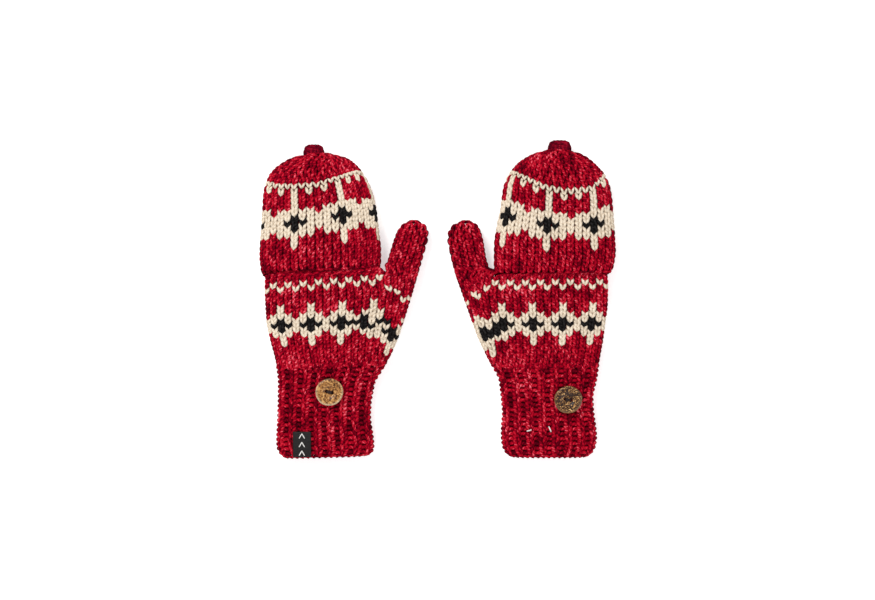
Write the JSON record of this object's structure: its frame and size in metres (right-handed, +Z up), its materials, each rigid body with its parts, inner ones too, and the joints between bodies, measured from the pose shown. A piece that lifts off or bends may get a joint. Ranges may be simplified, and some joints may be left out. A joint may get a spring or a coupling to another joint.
{
  "type": "convertible knitted mittens",
  "caption": "Chunky knitted pair of mittens lying flat: ribbed cuffs, patterned bands, and hoods that fold back off half-fingers to button on the cuff.",
  "frame": {"origin": "on the table under the middle of the pair's box, with both mittens lying on their palm sides", "axes": "+X from the left-hand mitten to the right-hand one, +Y from cuffs to fingertips, +Z up out of the backs of the hands"},
  "size_m": [0.3004, 0.2674, 0.024],
  "materials": {
    "red_marled_wool": "matte knitted wool",
    "dark_red_yarn": "matte knitted wool",
    "coconut_shell": "polished shell",
    "sewing_thread": "matte thread",
    "woven_black": "woven tape",
    "woven_white": "woven tape",
    "white_thread": "sewing thread"
  },
  "bodies": {
    "mittens": {"left_cuff": "red_marled_wool", "left_hand": "red_marled_wool", "left_finger_web": "red_marled_wool", "left_thumb": "red_marled_wool", "left_index_finger": "red_marled_wool", "left_middle_finger": "red_marled_wool", "left_ring_finger": "red_marled_wool", "left_little_finger": "red_marled_wool", "left_button_thread": "sewing_thread", "left_woven_label": "woven_black", "right_cuff": "red_marled_wool", "right_hand": "red_marled_wool", "right_finger_web": "red_marled_wool", "right_thumb": "red_marled_wool", "right_index_finger": "red_marled_wool", "right_middle_finger": "red_marled_wool", "right_ring_finger": "red_marled_wool", "right_little_finger": "red_marled_wool", "right_button_thread": "sewing_thread", "right_care_label": "woven_white", "right_tack_stitch_inner": "white_thread", "right_tack_stitch_outer": "white_thread"},
    "left_hood": {"left_hood_crown": "red_marled_wool", "left_hood_lip": "red_marled_wool"},
    "left_tip_loop": {"left_tip_loop": "dark_red_yarn"},
    "left_button": {"left_button": "coconut_shell"},
    "right_hood": {"right_hood_crown": "red_marled_wool", "right_hood_lip": "red_marled_wool"},
    "right_tip_loop": {"right_tip_loop": "dark_red_yarn"},
    "right_button": {"right_button": "coconut_shell"}
  },
  "joints": [
    {"name": "left_hood_fold", "type": "hinge", "parent": "mittens", "child": "left_hood", "pos_m": [-0.0962, 0.0243, 0.0227], "axis": [0.9976, 0.0698, 0], "range_deg": [0, 180], "deforming": ["left_hood_lip"]},
    {"name": "left_loop_swing", "type": "hinge", "parent": "left_hood", "child": "left_tip_loop", "pos_m": [-0.10425, 0.12625, 0.0098], "axis": [0.9997, 0.0236, 0], "range_deg": [-50, 50]},
    {"name": "left_button_tilt", "type": "hinge", "parent": "mittens", "child": "left_button", "pos_m": [-0.0907, -0.0776, 0.0205], "axis": [0.9659, -0.2588, 0], "range_deg": [-7, 7]},
    {"name": "right_hood_fold", "type": "hinge", "parent": "mittens", "child": "right_hood", "pos_m": [0.0958, 0.0209, 0.0227], "axis": [0.9994, 0.0349, 0], "range_deg": [0, 180], "deforming": ["right_hood_lip"]},
    {"name": "right_loop_swing", "type": "hinge", "parent": "right_hood", "child": "right_tip_loop", "pos_m": [0.1025, 0.1294, 0.0098], "axis": [1, 0, 0], "range_deg": [-50, 50]},
    {"name": "right_button_tilt", "type": "hinge", "parent": "mittens", "child": "right_button", "pos_m": [0.1092, -0.0839, 0.0205], "axis": [0.9848, -0.1736, 0], "range_deg": [-7, 7]}
  ]
}
